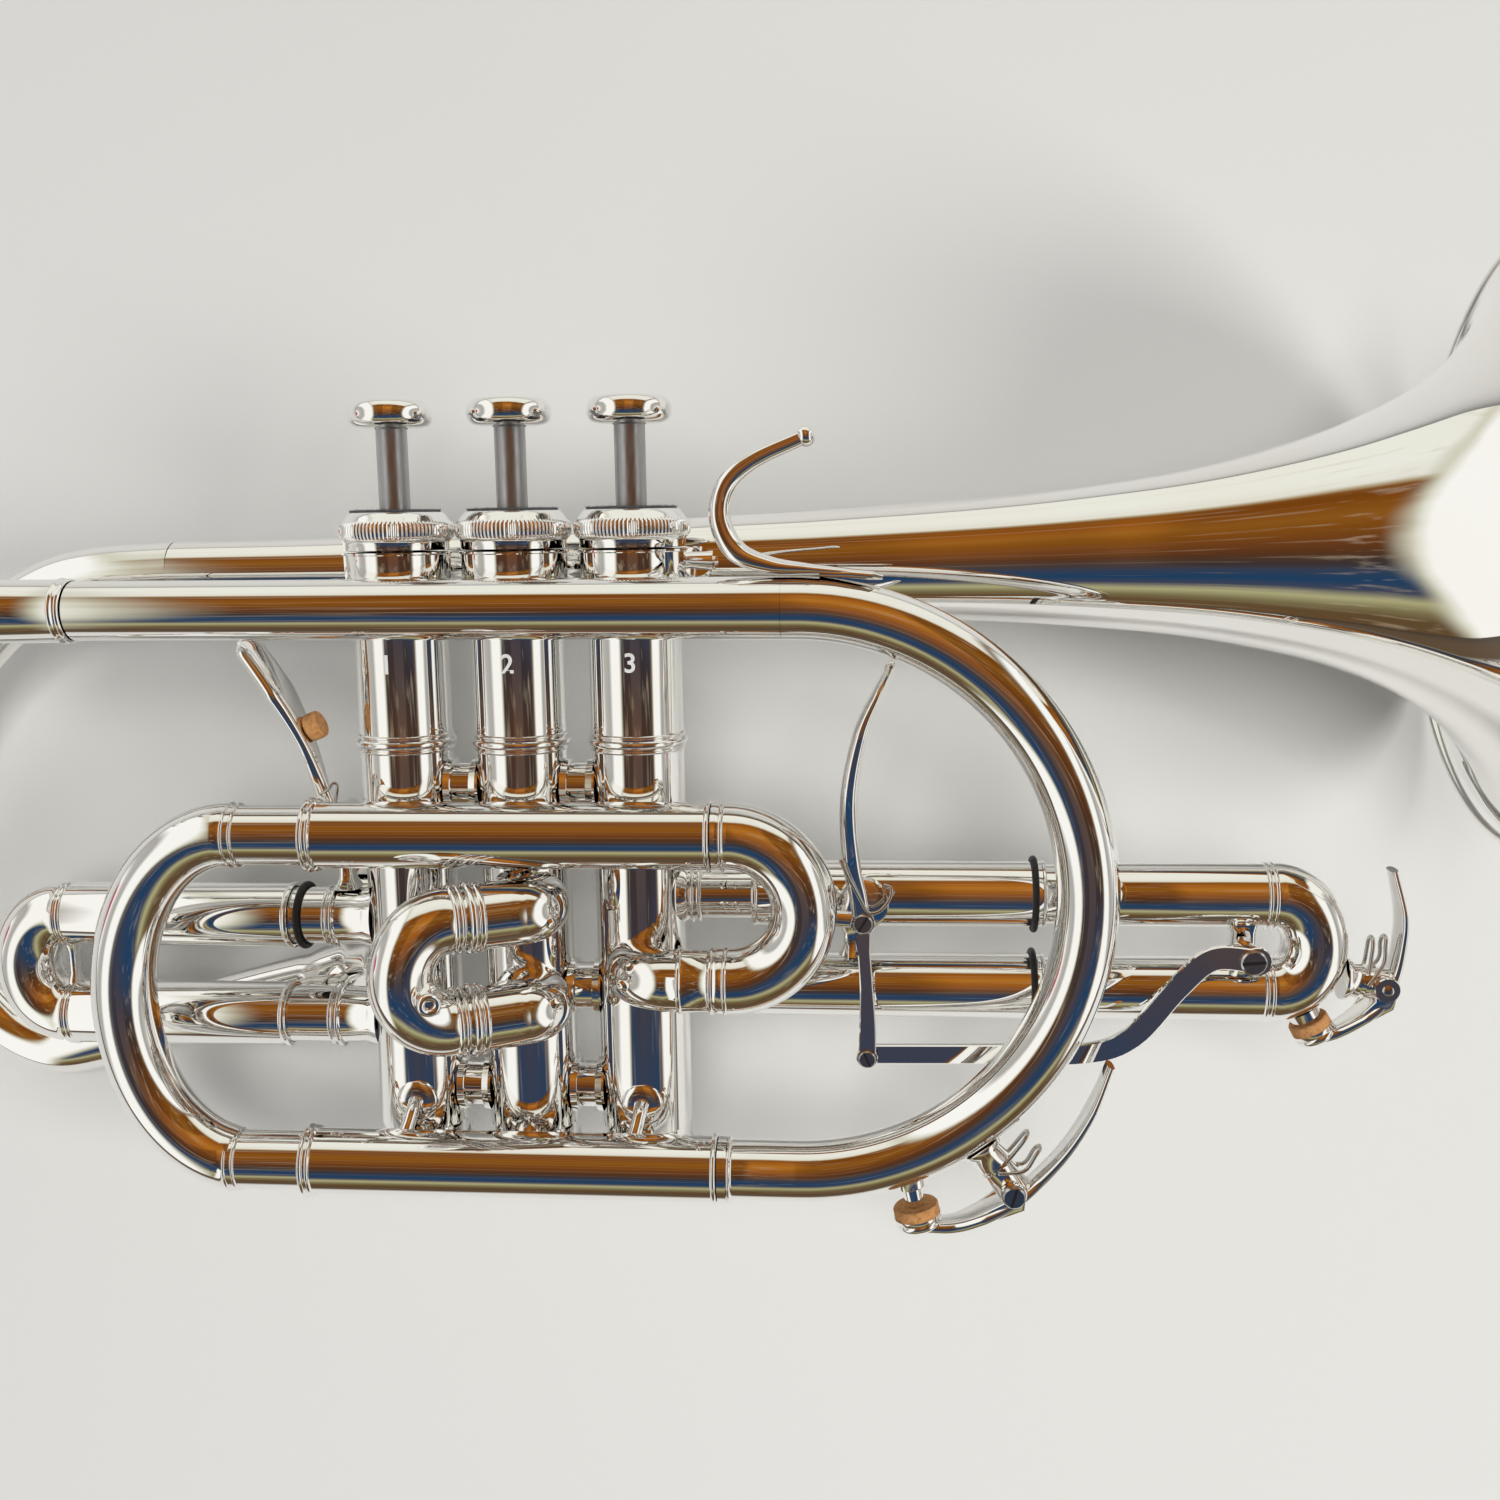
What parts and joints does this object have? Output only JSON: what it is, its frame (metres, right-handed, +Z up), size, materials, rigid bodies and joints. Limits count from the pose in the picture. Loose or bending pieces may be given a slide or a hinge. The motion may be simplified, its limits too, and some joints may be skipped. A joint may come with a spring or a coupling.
{
  "type": "cornet",
  "caption": "Silver-plated B-flat cornet with shepherd's crook, piston valves, tuning and valve slides, thumb and ring-finger slide triggers and water keys, lying on its left side",
  "frame": {"origin": "on the surface the cornet lies on, below the middle of its box", "axes": "+X towards the bell along the surface, +Y towards the valve buttons, +Z up; the cornet lies on its left side, carried by its bell rim and its crook"},
  "size_m": [0.3832, 0.2166, 0.1342],
  "materials": {
    "cork": "natural cork",
    "felt": "black felt",
    "monel": "lapped nickel alloy",
    "rubber": "black rubber",
    "silver": "polished silver plate",
    "steel": "satin steel"
  },
  "bodies": {
    "valve_1": {"piston_1": "monel", "valve_stem_1": "steel", "finger_button_1": "silver"},
    "valve_2": {"piston_2": "monel", "valve_stem_2": "steel", "finger_button_2": "silver"},
    "valve_3": {"piston_3": "monel", "valve_stem_3": "steel", "finger_button_3": "silver"},
    "tuning_slide_body": {"tuning_slide": "silver"},
    "first_slide_body": {"first_slide": "silver"},
    "second_slide_body": {"second_slide": "silver"},
    "third_slide_body": {"third_slide": "silver", "water_key_saddle_2": "silver"},
    "first_trigger": {"first_trigger_lever": "silver", "first_trigger_cork": "cork"},
    "third_trigger": {"third_trigger_lever": "silver"},
    "third_link": {"third_trigger_link": "silver"},
    "water_key_1": {"water_key_lever_1": "silver", "water_key_cork_1": "cork"},
    "water_key_2": {"water_key_lever_2": "silver", "water_key_cork_2": "cork"},
    "cornet_body": {"bell_brace": "silver", "bell_crook": "silver", "bell_flare": "silver", "bottom_cap_1": "silver", "bottom_cap_2": "silver", "bottom_cap_3": "silver", "cap_felt_1": "felt", "cap_felt_2": "felt", "cap_felt_3": "felt", "first_ring": "rubber", "first_trigger_bracket": "silver", "front_bend": "silver", "inlet_bow": "silver", "leadpipe": "silver", "leadpipe_brace": "silver", "lower_brace_1": "silver", "lower_brace_3": "silver", "mouthpiece_receiver": "silver", "pinky_hook": "silver", "third_ring_lower": "rubber", "third_ring_upper": "rubber", "third_slide_sleeves": "silver", "third_trigger_bracket": "silver", "top_cap_1": "silver", "top_cap_2": "silver", "top_cap_3": "silver", "tuning_sleeve_lower": "silver", "tuning_sleeve_upper": "silver", "valve_casing_1": "silver", "valve_casing_2": "silver", "valve_casing_3": "silver", "water_key_saddle_1": "silver"}
  },
  "joints": [
    {"name": "valve_1_press", "type": "slide", "parent": "cornet_body", "child": "valve_1", "axis": [0.0281, -0.9647, -0.2617], "range_m": [0, 0.015], "stiffness_N_per_m": 70, "springref_m": -0.035},
    {"name": "valve_2_press", "type": "slide", "parent": "cornet_body", "child": "valve_2", "axis": [0.0281, -0.9647, -0.2617], "range_m": [0, 0.015], "stiffness_N_per_m": 70, "springref_m": -0.035},
    {"name": "valve_3_press", "type": "slide", "parent": "cornet_body", "child": "valve_3", "axis": [0.0281, -0.9647, -0.2617], "range_m": [0, 0.015], "stiffness_N_per_m": 70, "springref_m": -0.035},
    {"name": "tuning_slide_pull", "type": "slide", "parent": "cornet_body", "child": "tuning_slide_body", "axis": [-0.9943, 0, -0.1069], "range_m": [-0.0142, 0.04]},
    {"name": "first_slide_pull", "type": "slide", "parent": "cornet_body", "child": "first_slide_body", "axis": [-0.9943, 0, -0.1069], "range_m": [0, 0.0075], "stiffness_N_per_m": 120, "springref_m": -0.02},
    {"name": "second_slide_pull", "type": "slide", "parent": "cornet_body", "child": "second_slide_body", "axis": [-0.9159, -0.1298, 0.3799], "range_m": [0, 0.008]},
    {"name": "third_slide_pull", "type": "slide", "parent": "cornet_body", "child": "third_slide_body", "axis": [0.9943, 0, 0.1069], "range_m": [0, 0.012], "stiffness_N_per_m": 120, "springref_m": -0.02},
    {"name": "first_trigger_turn", "type": "hinge", "parent": "cornet_body", "child": "first_trigger", "pos_m": [-0.07542, -0.02233, 0.055], "axis": [0.1032, 0.2632, -0.9592], "range_deg": [0, 16.96]},
    {"name": "third_trigger_turn", "type": "hinge", "parent": "cornet_body", "child": "third_trigger", "pos_m": [0.03916, -0.04237, 0.06324], "axis": [-0.1032, -0.2632, 0.9592], "range_deg": [0, 23.37]},
    {"name": "third_link_turn", "type": "hinge", "parent": "third_slide_body", "child": "third_link", "pos_m": [0.12011, -0.0474, 0.0605], "axis": [0.1032, 0.2632, -0.9592], "range_deg": [0, 1.82]},
    {"name": "water_key_1_open", "type": "hinge", "parent": "cornet_body", "child": "water_key_1", "pos_m": [0.07072, -0.0971, 0.06021], "axis": [-0.1032, -0.2632, 0.9592], "range_deg": [0, 10], "stiffness_Nm_per_rad": 0.08, "springref_deg": -17.19},
    {"name": "water_key_2_open", "type": "hinge", "parent": "third_slide_body", "child": "water_key_2", "pos_m": [0.14975, -0.05452, 0.06173], "axis": [-0.1032, -0.2632, 0.9592], "range_deg": [0, 10], "stiffness_Nm_per_rad": 0.08, "springref_deg": -17.19}
  ],
  "couplings": [
    {"joint": "first_trigger_turn", "follows": "first_slide_pull", "rad_per_m": 38.76},
    {"joint": "third_trigger_turn", "follows": "third_slide_pull", "rad_per_m": 33.557},
    {"joint": "third_link_turn", "follows": "third_slide_pull", "rad_per_m": 2.5017}
  ]
}
